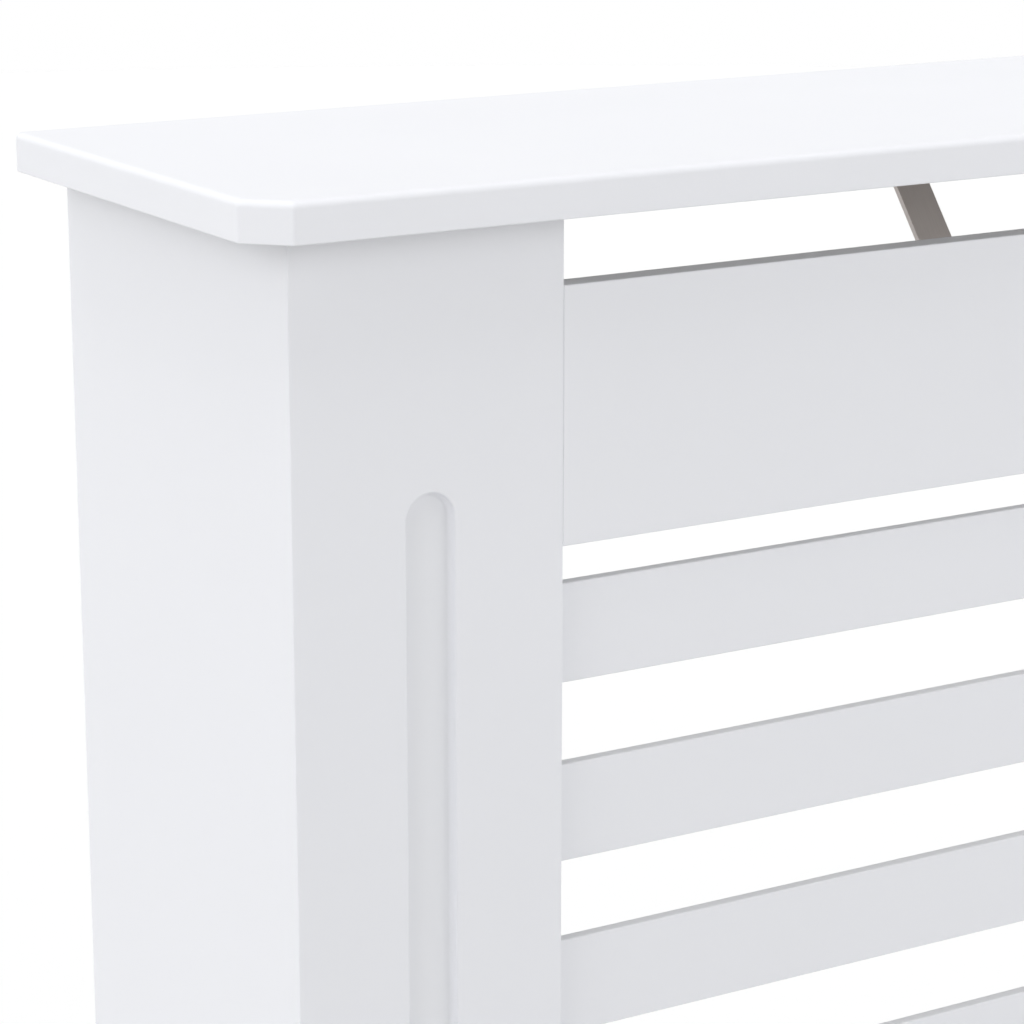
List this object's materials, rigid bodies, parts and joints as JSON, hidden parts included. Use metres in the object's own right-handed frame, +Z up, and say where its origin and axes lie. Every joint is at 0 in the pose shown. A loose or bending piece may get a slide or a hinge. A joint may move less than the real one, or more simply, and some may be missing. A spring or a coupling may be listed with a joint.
{
  "type": "radiator cover cabinet",
  "caption": "Free-standing white cover that stands in front of a radiator: top board, panelled corners and a grille of horizontal slats, open behind and below.",
  "frame": {"origin": "on the floor, under the centre of the top board", "axes": "+Z up, +Y towards the wall behind the cover, +X to the right seen from the room"},
  "size_m": [0.78, 0.19, 0.815],
  "materials": {
    "white_board": "medium density fibreboard with satin white lacquer",
    "pine": "planed, bare",
    "beech": "turned dowel, bare",
    "strap_steel": "cold-rolled strip, as milled",
    "zinc_steel": "bright zinc plate"
  },
  "bodies": {
    "root": {"top_board": "white_board", "left_stile": "white_board", "right_stile": "white_board", "left_side_panel": "white_board", "right_side_panel": "white_board", "upper_rail": "white_board", "lower_rail": "white_board", "slat_1": "white_board", "slat_2": "white_board", "slat_3": "white_board", "slat_4": "white_board", "slat_5": "white_board", "slat_6": "white_board", "slat_7": "white_board", "slat_8": "white_board", "left_batten": "white_board", "right_batten": "white_board", "left_corner_post": "pine", "right_corner_post": "pine", "post_dowels": "beech", "left_brace": "strap_steel", "right_brace": "strap_steel", "left_front_bracket": "zinc_steel", "left_rear_bracket": "zinc_steel", "left_wall_bracket": "zinc_steel", "right_front_bracket": "zinc_steel", "right_rear_bracket": "zinc_steel", "right_wall_bracket": "zinc_steel", "left_batten_screws": "zinc_steel", "left_post_screws": "zinc_steel", "right_batten_screws": "zinc_steel", "right_post_screws": "zinc_steel", "brace_screws": "zinc_steel", "bracket_screws": "zinc_steel", "wall_bracket_screws": "zinc_steel"}
  },
  "joints": []
}
